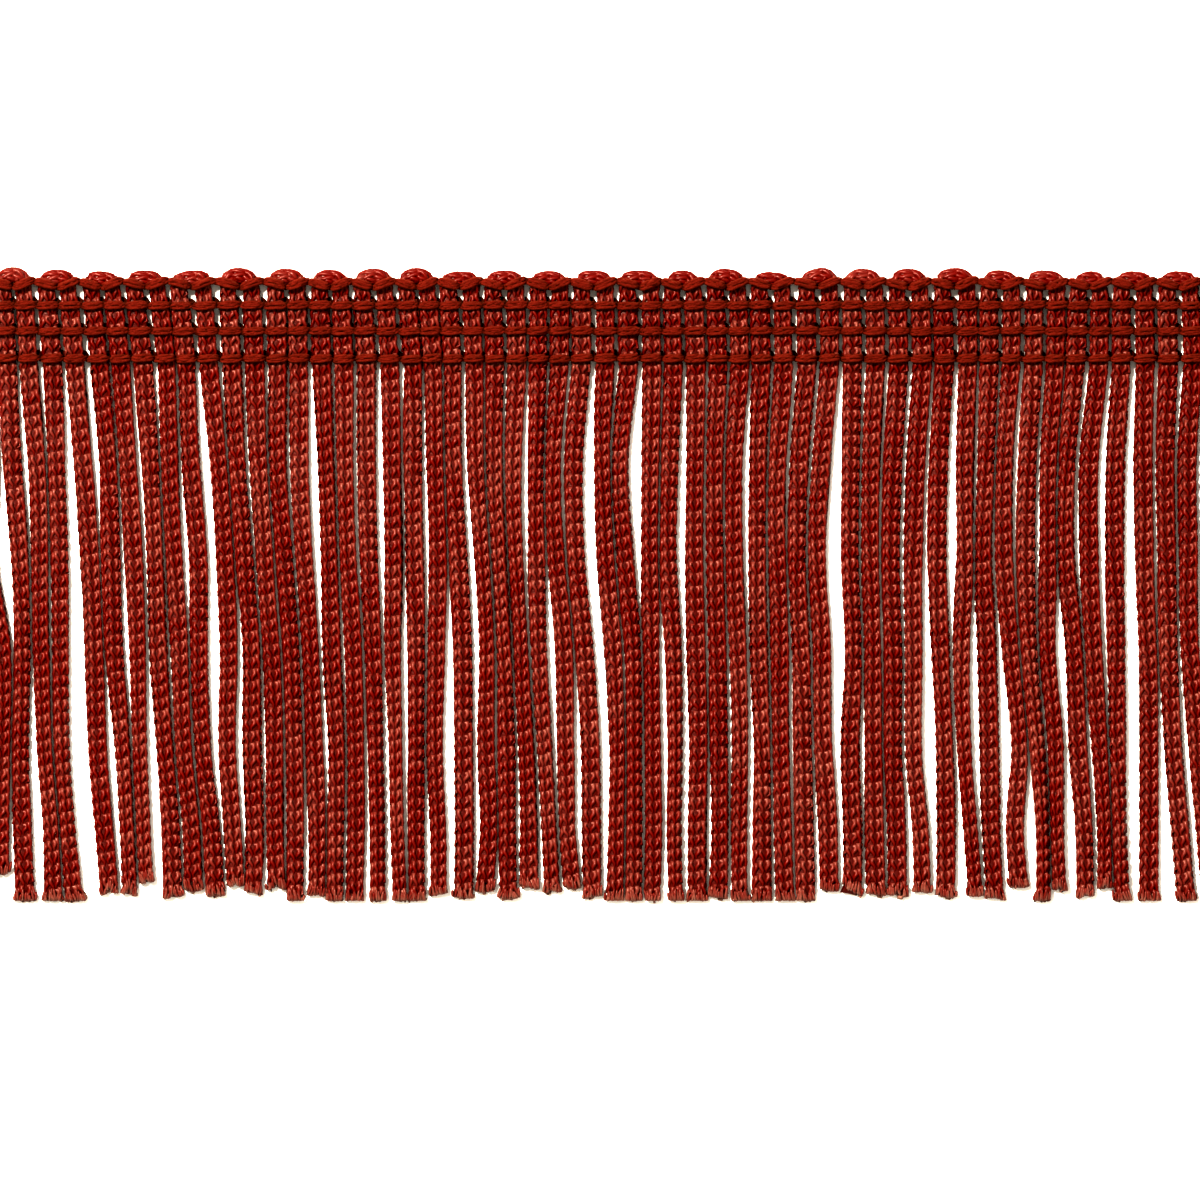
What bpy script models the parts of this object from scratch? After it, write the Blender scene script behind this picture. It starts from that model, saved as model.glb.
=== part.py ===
"""A cut length of chainette fringe trim, lying flat on a surface.

The trim runs along X. Flat knitted cords are laid in hairpins: each hairpin is a round bend at
the +Y edge (one scallop) and two legs that hang towards -Y. Four rows of chain stitch cross the
cords and hold them together as the heading. The underside is at z = 0, and the origin is below
the middle of the whole trim. Lengths are in metres.
"""
import math

import bmesh
import bpy

MM = 0.001
TENTH = 0.1 * MM             # the tables below are in tenths of a millimetre

# ---------- driving sizes ----------
TOP_Y = 38.15 * MM           # crest of the highest scallop
BOTTOM_Y = -38.15 * MM       # tip of the longest legs
ROOT_Y = 26.4 * MM           # the free legs start here
LEG_PITCH = 2.7 * MM         # from one cord to the next, on average
CORD_WIDTH = 2.2 * MM
CORD_THICK = 1.35 * MM
TRIM_END_X = 79.4 * MM       # the stitch rows are cut off here, at both ends
HEADING_END_X = 78.4 * MM
GAP = 0.3 * MM               # left between pieces that touch in the real trim
LEG_GAP = 0.35 * MM          # least space between two legs

# ---------- heading ----------
STRIP_TOP_Y = ROOT_Y + 1.25 * MM            # back edge of the strip that the legs grow from
HEADING_LOW_Y = STRIP_TOP_Y + GAP
HEADING_HIGH_Y = 36.5 * MM
LEAN_SPAN = 8.4 * MM         # the heading's length over which the table LEAN is given
RIB_TOP_HALF = 0.70 * MM     # half width of a cord's rounded top in the heading
RIB_FOOT_HALF = 1.08 * MM    # half width at its foot
WEB_THICK = 0.5 * MM         # height of the solid between two cords of the heading

# ---------- chain stitch rows ----------
ROW_YS = (36.2 * MM, 33.6 * MM, 30.5 * MM, 27.2 * MM)
ROW_WAVE = 0.2 * MM          # the top row dips under each scallop and rises between them
BAR_LOW_Z = CORD_THICK + GAP
BAR_HIGH_Z = 2.1 * MM
DIP_HIGH_Z = 1.82 * MM       # between two stitches
BAR_HALF_LENGTH = 0.98 * MM
BAR_HALF_HEIGHT = 0.6 * MM   # along Y
DIP_HALF_HEIGHT = 0.42 * MM
BAR_SLANT = 0.08 * MM        # a stitch's right end lies this much higher than its middle

# ---------- legs ----------
LEG_TOP_SHARE = 0.58         # a leg's section is narrower at its top
STATIONS = (0.0, 11.5 * MM, 23.5 * MM, 34.5 * MM, 46.5 * MM, 56.0 * MM)     # below ROOT_Y
OWN_WIDTH_FROM = 23.5 * MM   # above this station each leg has the full cord width
OWN_WIDTH_FULL = 46.5 * MM   # from this station on it has its own width
TIP_FLARE = 1.12             # a cut end spreads by this much,
TIP_LENGTH = 2.5 * MM        # over this length
LEG_STEPS = 9                # sections along a leg above its tip

# One row for each leg, from left to right, in tenths of a millimetre. The first seven columns
# are how far the leg's middle lies to the right of its even place, at the stations and at its
# own end. short is how far it stops above the longest legs. wide is its width lower down,
# which is less where it lies turned towards its edge.
LEGS = (
    # root, 11.5, 23.5, 34.5, 46.5, 56, end, short, wide
    (1, 6, 7, 16, 19, 18, 19, 4, 22),
    (1, 6, 5, 22, 21, 19, 19, 31, 22),
    (1, 7, 16, 19, 17, 19, 23, 0, 22),
    (0, 9, 13, 15, 19, 26, 29, 0, 21),
    (2, 6, 10, 11, 13, 20, 27, 0, 21),
    (2, 11, 19, 24, 29, 37, 43, 7, 22),
    (4, 14, 18, 22, 32, 37, 41, 4, 20),
    (3, 11, 18, 23, 26, 30, 34, 19, 16),
    (3, 11, 17, 21, 29, 36, 39, 1, 23),
    (4, 8, 13, 19, 25, 34, 37, 11, 24),
    (1, 6, 15, 16, 21, 31, 36, 5, 22),
    (1, 12, 20, 25, 23, 29, 33, 16, 20),
    (2, 8, 17, 25, 26, 29, 28, 6, 22),
    (2, 6, 14, 22, 26, 27, 28, 13, 22),
    (3, 3, 11, 19, 23, 24, 24, 0, 21),
    (1, 2, 8, 15, 20, 23, 23, 5, 21),
    (2, 7, 11, 14, 20, 19, 18, 0, 21),
    (2, 3, 7, 13, 16, 16, 14, 0, 23),
    (2, 2, 5, 10, 13, 15, 16, 0, 17),
    (3, 6, 8, 7, 10, 12, 15, 0, 15),
    (4, 4, 6, 8, 8, 8, 9, 0, 20),
    (1, 3, 7, 5, 3, 7, 8, 5, 18),
    (-2, -1, 5, 10, 11, 12, 11, 2, 22),
    (-3, -2, 6, 12, 11, 14, 9, 9, 20),
    (-5, -6, 0, 6, 9, 10, 11, 2, 20),
    (-6, -10, -7, -1, 6, 9, 9, 12, 23),
    (-7, -10, -9, -6, 1, 6, 10, 9, 17),
    (-9, -16, -12, -3, -1, 1, 7, 13, 20),
    (-9, -18, -15, -5, 2, 3, 4, 2, 22),
    (-7, -11, -7, 2, 7, 6, 4, 0, 21),
    (-6, -16, -10, -1, 1, 1, 0, 0, 19),
    (-5, -7, -8, -6, -4, -3, -5, 0, 22),
    (-6, -10, -12, -6, -4, -5, -3, 0, 16),
    (-6, -7, -8, -6, -3, -4, -4, 0, 22),
    (-6, -10, -10, -7, -5, -4, -6, 2, 22),
    (-7, -14, -13, -9, -7, -8, -7, 0, 18),
    (-8, -12, -13, -11, -7, -7, -7, 0, 23),
    (-8, -15, -16, -13, -11, -9, -7, 0, 21),
    (-7, -16, -19, -14, -12, -10, -8, 0, 22),
    (-7, -16, -22, -16, -14, -9, -7, 10, 22),
    (-6, -8, -9, -5, -9, -6, -6, 4, 22),
    (-5, -10, -12, -9, -8, -7, -5, 5, 22),
    (-4, -11, -14, -11, -11, -7, -6, 3, 22),
    (-3, -11, -14, -13, -13, -5, -3, 9, 19),
    (-3, -10, -12, -8, -3, -1, -2, 2, 22),
    (-2, -5, -6, -10, -6, 1, 7, 5, 16),
    (-3, -7, -10, -6, -3, -1, 4, 0, 23),
    (-4, -11, -12, -5, 6, 1, 5, 15, 21),
    (-4, -11, -13, -9, 1, 7, 8, 0, 17),
    (-5, -13, -14, -14, -4, -2, 0, 11, 18),
    (-7, -17, -18, -9, -4, 3, 5, 2, 22),
    (-6, -18, -18, -12, -5, 0, 1, 14, 21),
    (-6, -13, -14, -12, -10, -8, -5, 0, 19),
    (-4, -7, -5, -1, 0, 0, 0, 0, 22),
    (-3, -7, -5, -3, 3, 11, 18, 0, 21),
    (-1, -8, -6, -4, 5, 14, 20, 0, 21),
    (-1, -7, -5, -2, 6, 13, 16, 0, 22),
    (-1, -5, -3, -1, 4, 9, 11, 6, 22),
)

# How far a cord's top lies to the right of its root, over LEAN_SPAN, at some of the cords.
LEAN = (
    # leg, lean
    (0, -4),
    (2, -5),
    (6, -9),
    (9, -10),
    (11, -6),
    (15, -1),
    (20, -7),
    (27, 1),
    (34, -3),
    (39, 0),
    (43, -3),
    (50, 3),
    (57, -5),
)

# One row for each hairpin's bend: how much lower it is than the highest, its width, and how far
# its crest lies to the right of its middle.
SCALLOPS = (
    # low, wide, skew
    (3, 38, 1),
    (0, 38, 0),
    (3, 38, 2),
    (5, 36, -2),
    (4, 39, -1),
    (4, 41, 5),
    (1, 40, -1),
    (2, 39, 0),
    (3, 36, -1),
    (2, 40, 1),
    (1, 38, -1),
    (5, 41, 2),
    (4, 39, 1),
    (5, 38, 0),
    (4, 40, -1),
    (4, 43, -1),
    (4, 32, 0),
    (2, 39, -1),
    (6, 37, -1),
    (1, 39, 5),
    (2, 39, 0),
    (2, 39, 0),
    (1, 43, 0),
    (4, 36, -1),
    (4, 40, -2),
    (5, 30, 2),
    (5, 37, 0),
    (5, 38, 0),
    (4, 38, 1),
)
SCALLOP_AROUND = 12          # sides of a bend seen from above
SCALLOP_UP = 6               # rings of a bend from its underside to its top

CORD_COLOR = (0.30, 0.012, 0.004, 1.0)
WARP_COLOR = (0.29, 0.022, 0.007, 1.0)


# ---------- where the cords lie ----------
def between(table, place):
    """Read a table of (place, value) rows, with straight lines between its rows."""
    for (low, low_value), (high, high_value) in zip(table, table[1:]):
        if place <= high:
            share = max(0.0, (place - low) / (high - low))
            return low_value + share * (high_value - low_value)
    return table[-1][1]


def even_x(leg):
    """The place of a leg if all lay at the same pitch."""
    return (leg - (len(LEGS) - 1) / 2) * LEG_PITCH


def leg_length(leg):
    return ROOT_Y - BOTTOM_Y - LEGS[leg][7] * TENTH


def smooth(places, values, place):
    """A cubic curve through the values, whose slope at each place comes from its neighbours."""
    last = len(places) - 1
    index = 0
    while index < last - 1 and place > places[index + 1]:
        index += 1
    slopes = []
    for at in (index, index + 1):
        before, after = max(at - 1, 0), min(at + 1, last)
        slopes.append((values[after] - values[before]) / (places[after] - places[before]))
    span = places[index + 1] - places[index]
    t = min(1.0, (place - places[index]) / span)
    rise = values[index + 1] - values[index]
    bend_in = slopes[0] * span - rise
    bend_out = rise - slopes[1] * span
    return values[index] + t * rise + t * (1 - t) * ((1 - t) * bend_in + t * bend_out)


def leg_x(leg, down):
    """The middle of a leg at a distance down from its root."""
    places = STATIONS + (leg_length(leg),)
    return even_x(leg) + smooth(places, LEGS[leg][:7], down) * TENTH


def leg_width(leg, down):
    """A leg's own width, before it makes room for its neighbours."""
    own = LEGS[leg][8] * TENTH
    widths = ((0.0, CORD_WIDTH), (OWN_WIDTH_FROM, CORD_WIDTH), (OWN_WIDTH_FULL, own))
    flare = TIP_FLARE if down >= leg_length(leg) else 1.0
    return between(widths, down) * flare


def leg_half_width(leg, down):
    """Half the width that leaves LEG_GAP to the legs on both sides."""
    half = leg_width(leg, down) / 2
    for other in (leg - 1, leg + 1):
        if 0 <= other < len(LEGS):
            room = abs(leg_x(other, down) - leg_x(leg, down)) - LEG_GAP
            half = min(half, room / 2)
    return half


def cord_x(leg, y):
    """The middle of a cord inside the heading."""
    lean = between(LEAN, leg) * TENTH
    return leg_x(leg, 0.0) + lean * (y - ROOT_Y) / LEAN_SPAN


# ---------- mesh helpers ----------
def add_ring(bm, points):
    return [bm.verts.new(point) for point in points]


def bridge(bm, ring_a, ring_b, open_side=None):
    """Join two sections with one face for each side, but for the side left open."""
    count = len(ring_a)
    for side in range(count):
        if side != open_side:
            after = (side + 1) % count
            bm.faces.new((ring_a[side], ring_a[after], ring_b[after], ring_b[side]))


def loft(bm, sections):
    """Join a list of sections, closed at both ends."""
    rings = [add_ring(bm, section) for section in sections]
    for ring_a, ring_b in zip(rings, rings[1:]):
        bridge(bm, ring_a, ring_b)
    bm.faces.new(rings[0])
    bm.faces.new(rings[-1])


def finish_object(name, bm, collection, material=None):
    """Turn a bmesh into an object whose faces point out."""
    bmesh.ops.recalc_face_normals(bm, faces=bm.faces)
    mesh = bpy.data.meshes.new(name)
    bm.to_mesh(mesh)
    bm.free()
    if material:
        mesh.materials.append(material)
    part = bpy.data.objects.new(name, mesh)
    collection.objects.link(part)
    return part


def make_material(name, color, roughness, sheen):
    material = bpy.data.materials.new(name)
    material.use_nodes = True
    shader = material.node_tree.nodes["Principled BSDF"]
    shader.inputs["Base Color"].default_value = color
    shader.inputs["Roughness"].default_value = roughness
    shader.inputs["Metallic"].default_value = 0.0
    shader.inputs["Sheen Weight"].default_value = sheen
    return material


# ---------- the pieces ----------
def leg_section(leg, down):
    """A leg's four corners: left and right on the surface, then right and left on top."""
    x = leg_x(leg, down)
    y = ROOT_Y - down
    foot = leg_half_width(leg, down)
    top = foot * LEG_TOP_SHARE
    return [(x - foot, y, 0.0), (x + foot, y, 0.0), (x + top, y, CORD_THICK), (x - top, y, CORD_THICK)]


def strip_ring(bm, foot_x, top_x):
    """One section of the root strip: its front and back edges, on the surface and on top."""
    return add_ring(bm, [
        (foot_x, ROOT_Y, 0.0),
        (foot_x, STRIP_TOP_Y, 0.0),
        (top_x, STRIP_TOP_Y, CORD_THICK),
        (top_x, ROOT_Y, CORD_THICK),
    ])


def make_fringe(material, collection):
    """The legs, which grow out of the front of one narrow strip."""
    front_side = 3           # the side of the strip's section that faces the legs
    bm = bmesh.new()
    rings = [strip_ring(bm, -HEADING_END_X, -HEADING_END_X)]
    for leg in range(len(LEGS)):
        foot_left, foot_right, top_right, top_left = leg_section(leg, 0.0)
        rings.append(strip_ring(bm, foot_left[0], top_left[0]))
        rings.append(strip_ring(bm, foot_right[0], top_right[0]))
    rings.append(strip_ring(bm, HEADING_END_X, HEADING_END_X))
    for index, (ring_a, ring_b) in enumerate(zip(rings, rings[1:])):
        is_leg = index % 2 == 1
        bridge(bm, ring_a, ring_b, open_side=front_side if is_leg else None)
    bm.faces.new(rings[0])
    bm.faces.new(rings[-1])
    for leg in range(len(LEGS)):
        left, right = rings[2 * leg + 1], rings[2 * leg + 2]
        last = [left[0], right[0], right[3], left[3]]
        step = (leg_length(leg) - TIP_LENGTH) / LEG_STEPS
        for down in [step * (index + 1) for index in range(LEG_STEPS)] + [leg_length(leg)]:
            ring = add_ring(bm, leg_section(leg, down))
            bridge(bm, last, ring)
            last = ring
        bm.faces.new(last)
    return finish_object("fringe", bm, collection, material)


def heading_section(leg, offset, height):
    """A section of the heading's band beside a cord, leaning as the cord leans."""
    low_x = cord_x(leg, HEADING_LOW_Y) + offset
    high_x = cord_x(leg, HEADING_HIGH_Y) + offset
    return [
        (low_x, HEADING_LOW_Y, 0.0),
        (high_x, HEADING_HIGH_Y, 0.0),
        (high_x, HEADING_HIGH_Y, height),
        (low_x, HEADING_LOW_Y, height),
    ]


def heading_end(x):
    """The heading's square cut end."""
    return [
        (x, HEADING_LOW_Y, 0.0),
        (x, HEADING_HIGH_Y, 0.0),
        (x, HEADING_HIGH_Y, WEB_THICK),
        (x, HEADING_LOW_Y, WEB_THICK),
    ]


def scallop_middle(hairpin):
    """Where a hairpin's bend is centred: between its two cords, on the top stitch row."""
    return (cord_x(2 * hairpin, ROW_YS[0]) + cord_x(2 * hairpin + 1, ROW_YS[0])) / 2


def make_bends(collection):
    """The hairpins' bends, as domes that the heading is joined to."""
    bm = bmesh.new()
    for hairpin, (low, wide, skew) in enumerate(SCALLOPS):
        made = bmesh.ops.create_uvsphere(bm, u_segments=SCALLOP_AROUND, v_segments=SCALLOP_UP, radius=1.0)
        rise = TOP_Y - low * TENTH - ROW_YS[0]
        for vert in made["verts"]:
            across, along, up = vert.co
            # A quarter turn puts a corner of the outline at the crest.
            vert.co.x = scallop_middle(hairpin) + along * wide * TENTH / 2 + max(0.0, across) * skew * TENTH
            vert.co.y = ROW_YS[0] + across * rise
            vert.co.z = (1.0 + up) * CORD_THICK / 2
    bends = finish_object("bends", bm, collection)
    bends.hide_render = True
    bends.display_type = "WIRE"
    return bends


def make_heading(material, collection, helpers):
    """The band of cords under the stitch rows, with the bends along its upper edge."""
    bm = bmesh.new()
    sections = [heading_end(-HEADING_END_X)]
    for leg in range(len(LEGS)):
        sections.append(heading_section(leg, -RIB_FOOT_HALF, WEB_THICK))
        sections.append(heading_section(leg, -RIB_TOP_HALF, CORD_THICK))
        sections.append(heading_section(leg, RIB_TOP_HALF, CORD_THICK))
        sections.append(heading_section(leg, RIB_FOOT_HALF, WEB_THICK))
    sections.append(heading_end(HEADING_END_X))
    loft(bm, sections)
    heading = finish_object("heading", bm, collection, material)
    join = heading.modifiers.new("join_bends", "BOOLEAN")
    join.operation = "UNION"
    join.object = make_bends(helpers)
    return heading


def row_wave(row, x):
    """How far the top row rises between the scallops and dips under them."""
    if row > 0:
        return 0.0
    middles = [scallop_middle(hairpin) for hairpin in range(len(SCALLOPS))]
    nearest = min(middles, key=lambda middle: abs(middle - x))
    return -ROW_WAVE * math.cos(math.pi * (x - nearest) / LEG_PITCH)


def row_section(row, x, half_height, high_z, slant):
    y = ROW_YS[row] + row_wave(row, x) + slant
    return [
        (x, y - half_height, BAR_LOW_Z),
        (x, y + half_height, BAR_LOW_Z),
        (x, y + half_height, high_z),
        (x, y - half_height, high_z),
    ]


def make_chain_row(row, material, collection):
    """One row of chain stitch: a raised bar over each cord and a dip between two cords."""
    y = ROW_YS[row]
    xs = [cord_x(leg, y) for leg in range(len(LEGS))]
    sections = [row_section(row, -TRIM_END_X, DIP_HALF_HEIGHT, DIP_HIGH_Z, 0.0)]
    for leg, x in enumerate(xs):
        sections.append(row_section(row, x - BAR_HALF_LENGTH, BAR_HALF_HEIGHT, BAR_HIGH_Z, -BAR_SLANT))
        sections.append(row_section(row, x + BAR_HALF_LENGTH, BAR_HALF_HEIGHT, BAR_HIGH_Z, BAR_SLANT))
        dip_x = (x + xs[leg + 1]) / 2 if leg + 1 < len(xs) else TRIM_END_X
        sections.append(row_section(row, dip_x, DIP_HALF_HEIGHT, DIP_HIGH_Z, 0.0))
    bm = bmesh.new()
    loft(bm, sections)
    return finish_object("chain_row_%d" % (row + 1), bm, collection, material)


def main():
    for old in list(bpy.data.objects):
        bpy.data.objects.remove(old, do_unlink=True)
    trim = bpy.data.collections.new("chainette_fringe_trim")
    helpers = bpy.data.collections.new("helpers")
    bpy.context.scene.collection.children.link(trim)
    bpy.context.scene.collection.children.link(helpers)
    cord = make_material("chainette_cord", CORD_COLOR, 0.35, 0.3)
    warp = make_material("warp_yarn", WARP_COLOR, 0.8, 0.5)
    make_fringe(cord, trim)
    make_heading(cord, trim, helpers)
    for row in range(len(ROW_YS)):
        make_chain_row(row, warp, trim)


main()
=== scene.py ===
"""The looks of a cut length of chainette fringe trim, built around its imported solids.

The trim lies on its back on a pale floor, along X, with its scalloped edge at +Y. Each hairpin of
cord is one piece: a real knitted tube, whose single yarn is modelled loop by loop. Each row of
chain stitch is one piece of twisted yarn. Lengths are in metres.
"""
import math

import bpy
import numpy as np
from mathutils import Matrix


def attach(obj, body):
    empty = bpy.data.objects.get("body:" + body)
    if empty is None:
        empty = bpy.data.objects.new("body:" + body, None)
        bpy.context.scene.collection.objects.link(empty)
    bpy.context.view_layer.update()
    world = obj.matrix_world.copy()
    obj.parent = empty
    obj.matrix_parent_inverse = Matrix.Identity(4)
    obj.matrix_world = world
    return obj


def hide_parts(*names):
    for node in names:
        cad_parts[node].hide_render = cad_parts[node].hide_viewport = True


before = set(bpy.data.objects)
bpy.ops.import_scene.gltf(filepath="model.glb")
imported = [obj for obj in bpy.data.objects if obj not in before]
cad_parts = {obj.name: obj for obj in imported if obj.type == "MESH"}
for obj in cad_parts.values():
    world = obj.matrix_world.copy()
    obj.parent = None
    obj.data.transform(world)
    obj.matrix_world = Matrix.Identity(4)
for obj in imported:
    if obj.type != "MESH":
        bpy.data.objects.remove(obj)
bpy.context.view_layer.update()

MM = 0.001
TENTH = 0.1 * MM             # the tables below are in tenths of a millimetre
UP = np.array((0.0, 0.0, 1.0))

# ---------- driving sizes, as in the solids ----------
TOP_Y = 38.15 * MM           # crest of the highest scallop
BOTTOM_Y = -38.15 * MM       # tip of the longest legs
ROOT_Y = 26.4 * MM           # the free legs start here
LEG_PITCH = 2.7 * MM
CORD_WIDTH = 2.2 * MM
CORD_THICK = 1.35 * MM
TRIM_END_X = 79.4 * MM
LEAN_SPAN = 8.4 * MM
ROW_YS = (36.2 * MM, 33.6 * MM, 30.5 * MM, 27.2 * MM)
STATIONS = (0.0, 11.5 * MM, 23.5 * MM, 34.5 * MM, 46.5 * MM, 56.0 * MM)     # below ROOT_Y
OWN_WIDTH_FROM = 23.5 * MM   # above this station each leg has the full cord width
OWN_WIDTH_FULL = 46.5 * MM   # from this station on it has its own width

# One row for each leg, from left to right, in tenths of a millimetre. The first seven columns
# are how far the leg's middle lies to the right of its even place, at the stations and at its
# own end. short is how far it stops above the longest legs. wide is its width lower down,
# which is less where it lies turned towards its edge.
LEGS = (
    # root, 11.5, 23.5, 34.5, 46.5, 56, end, short, wide
    (1, 6, 7, 16, 19, 18, 19, 4, 22),
    (1, 6, 5, 22, 21, 19, 19, 31, 22),
    (1, 7, 16, 19, 17, 19, 23, 0, 22),
    (0, 9, 13, 15, 19, 26, 29, 0, 21),
    (2, 6, 10, 11, 13, 20, 27, 0, 21),
    (2, 11, 19, 24, 29, 37, 43, 7, 22),
    (4, 14, 18, 22, 32, 37, 41, 4, 20),
    (3, 11, 18, 23, 26, 30, 34, 19, 16),
    (3, 11, 17, 21, 29, 36, 39, 1, 23),
    (4, 8, 13, 19, 25, 34, 37, 11, 24),
    (1, 6, 15, 16, 21, 31, 36, 5, 22),
    (1, 12, 20, 25, 23, 29, 33, 16, 20),
    (2, 8, 17, 25, 26, 29, 28, 6, 22),
    (2, 6, 14, 22, 26, 27, 28, 13, 22),
    (3, 3, 11, 19, 23, 24, 24, 0, 21),
    (1, 2, 8, 15, 20, 23, 23, 5, 21),
    (2, 7, 11, 14, 20, 19, 18, 0, 21),
    (2, 3, 7, 13, 16, 16, 14, 0, 23),
    (2, 2, 5, 10, 13, 15, 16, 0, 17),
    (3, 6, 8, 7, 10, 12, 15, 0, 15),
    (4, 4, 6, 8, 8, 8, 9, 0, 20),
    (1, 3, 7, 5, 3, 7, 8, 5, 18),
    (-2, -1, 5, 10, 11, 12, 11, 2, 22),
    (-3, -2, 6, 12, 11, 14, 9, 9, 20),
    (-5, -6, 0, 6, 9, 10, 11, 2, 20),
    (-6, -10, -7, -1, 6, 9, 9, 12, 23),
    (-7, -10, -9, -6, 1, 6, 10, 9, 17),
    (-9, -16, -12, -3, -1, 1, 7, 13, 20),
    (-9, -18, -15, -5, 2, 3, 4, 2, 22),
    (-7, -11, -7, 2, 7, 6, 4, 0, 21),
    (-6, -16, -10, -1, 1, 1, 0, 0, 19),
    (-5, -7, -8, -6, -4, -3, -5, 0, 22),
    (-6, -10, -12, -6, -4, -5, -3, 0, 16),
    (-6, -7, -8, -6, -3, -4, -4, 0, 22),
    (-6, -10, -10, -7, -5, -4, -6, 2, 22),
    (-7, -14, -13, -9, -7, -8, -7, 0, 18),
    (-8, -12, -13, -11, -7, -7, -7, 0, 23),
    (-8, -15, -16, -13, -11, -9, -7, 0, 21),
    (-7, -16, -19, -14, -12, -10, -8, 0, 22),
    (-7, -16, -22, -16, -14, -9, -7, 10, 22),
    (-6, -8, -9, -5, -9, -6, -6, 4, 22),
    (-5, -10, -12, -9, -8, -7, -5, 5, 22),
    (-4, -11, -14, -11, -11, -7, -6, 3, 22),
    (-3, -11, -14, -13, -13, -5, -3, 9, 19),
    (-3, -10, -12, -8, -3, -1, -2, 2, 22),
    (-2, -5, -6, -10, -6, 1, 7, 5, 16),
    (-3, -7, -10, -6, -3, -1, 4, 0, 23),
    (-4, -11, -12, -5, 6, 1, 5, 15, 21),
    (-4, -11, -13, -9, 1, 7, 8, 0, 17),
    (-5, -13, -14, -14, -4, -2, 0, 11, 18),
    (-7, -17, -18, -9, -4, 3, 5, 2, 22),
    (-6, -18, -18, -12, -5, 0, 1, 14, 21),
    (-6, -13, -14, -12, -10, -8, -5, 0, 19),
    (-4, -7, -5, -1, 0, 0, 0, 0, 22),
    (-3, -7, -5, -3, 3, 11, 18, 0, 21),
    (-1, -8, -6, -4, 5, 14, 20, 0, 21),
    (-1, -7, -5, -2, 6, 13, 16, 0, 22),
    (-1, -5, -3, -1, 4, 9, 11, 6, 22),
)

# How far a cord's top lies to the right of its root, over LEAN_SPAN, at some of the cords.
LEAN = (
    # leg, lean
    (0, -4),
    (2, -5),
    (6, -9),
    (9, -10),
    (11, -6),
    (15, -1),
    (20, -7),
    (27, 1),
    (34, -3),
    (39, 0),
    (43, -3),
    (50, 3),
    (57, -5),
)

# One row for each hairpin's bend: how much lower it is than the highest, its width, and how far
# its crest lies to the right of its middle.
SCALLOPS = (
    # low, wide, skew
    (3, 38, 1),
    (0, 38, 0),
    (3, 38, 2),
    (5, 36, -2),
    (4, 39, -1),
    (4, 41, 5),
    (1, 40, -1),
    (2, 39, 0),
    (3, 36, -1),
    (2, 40, 1),
    (1, 38, -1),
    (5, 41, 2),
    (4, 39, 1),
    (5, 38, 0),
    (4, 40, -1),
    (4, 43, -1),
    (4, 32, 0),
    (2, 39, -1),
    (6, 37, -1),
    (1, 39, 5),
    (2, 39, 0),
    (2, 39, 0),
    (1, 43, 0),
    (4, 36, -1),
    (4, 40, -2),
    (5, 30, 2),
    (5, 37, 0),
    (5, 38, 0),
    (4, 38, 1),
)

# One row for each leg: how far its left and its right edge spread at its cut end, how much
# further down its right edge reaches than its left one, how deep a bite there is between two
# lobes, and how far its corners are rounded off.
TIPS = (
    # left, right, slant, bite, round
    (2, 2, 0, 0, 1),
    (0, 0, 0, 0, 4),
    (4, 2, 0, 0, 0),
    (3, 2, 0, 0, 0),
    (0, 6, 0, 0, 0),
    (0, 0, -2, 5, 0),
    (4, 0, 4, 6, 2),
    (0, 2, -3, 4, 3),
    (2, 3, -4, 3, 2),
    (1, 1, 0, 0, 4),
    (1, 3, 0, 2, 2),
    (0, 1, 0, 3, 3),
    (3, 1, 5, 1, 1),
    (2, 4, 0, 4, 0),
    (0, 0, 0, 0, 0),
    (4, 2, 1, 1, 1),
    (1, 1, 0, 0, 0),
    (1, 1, 0, 0, 0),
    (1, 0, 0, 0, 0),
    (1, 1, 0, 0, 0),
    (2, 3, 0, 0, 0),
    (2, 2, -4, 0, 1),
    (3, 2, 2, 0, 1),
    (1, 2, -2, 0, 3),
    (5, 5, 0, 0, 3),
    (0, 2, 5, 1, 2),
    (3, 3, -1, 2, 1),
    (0, 1, 2, 0, 4),
    (1, 2, -4, 1, 0),
    (2, 1, 0, 0, 0),
    (1, 1, 0, 0, 0),
    (-3, 0, 0, 0, 0),
    (0, 1, 0, 0, 0),
    (3, 2, 0, 0, 0),
    (2, 1, 3, 0, 0),
    (0, 4, 0, 0, 0),
    (1, 1, 0, 0, 0),
    (1, 2, 0, 0, 0),
    (0, 0, 0, 0, 0),
    (0, 1, 3, 0, 2),
    (5, 2, 15, 0, 1),
    (1, 2, 4, 0, 1),
    (1, 2, 3, 5, 2),
    (2, 2, 1, 1, 1),
    (2, 2, 4, 0, 3),
    (1, 1, 0, 0, 1),
    (3, 3, 4, 1, 0),
    (1, 3, 1, 0, 3),
    (4, 1, 0, 0, 0),
    (0, 2, 2, 3, 1),
    (2, 2, -3, 3, 2),
    (0, 1, -1, 3, 1),
    (1, 3, 0, 0, 0),
    (1, 3, 0, 0, 0),
    (1, 2, 0, 0, 0),
    (1, 1, 0, 0, 0),
    (1, 1, 0, 0, 0),
    (1, 1, 0, 0, 0),
)

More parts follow.
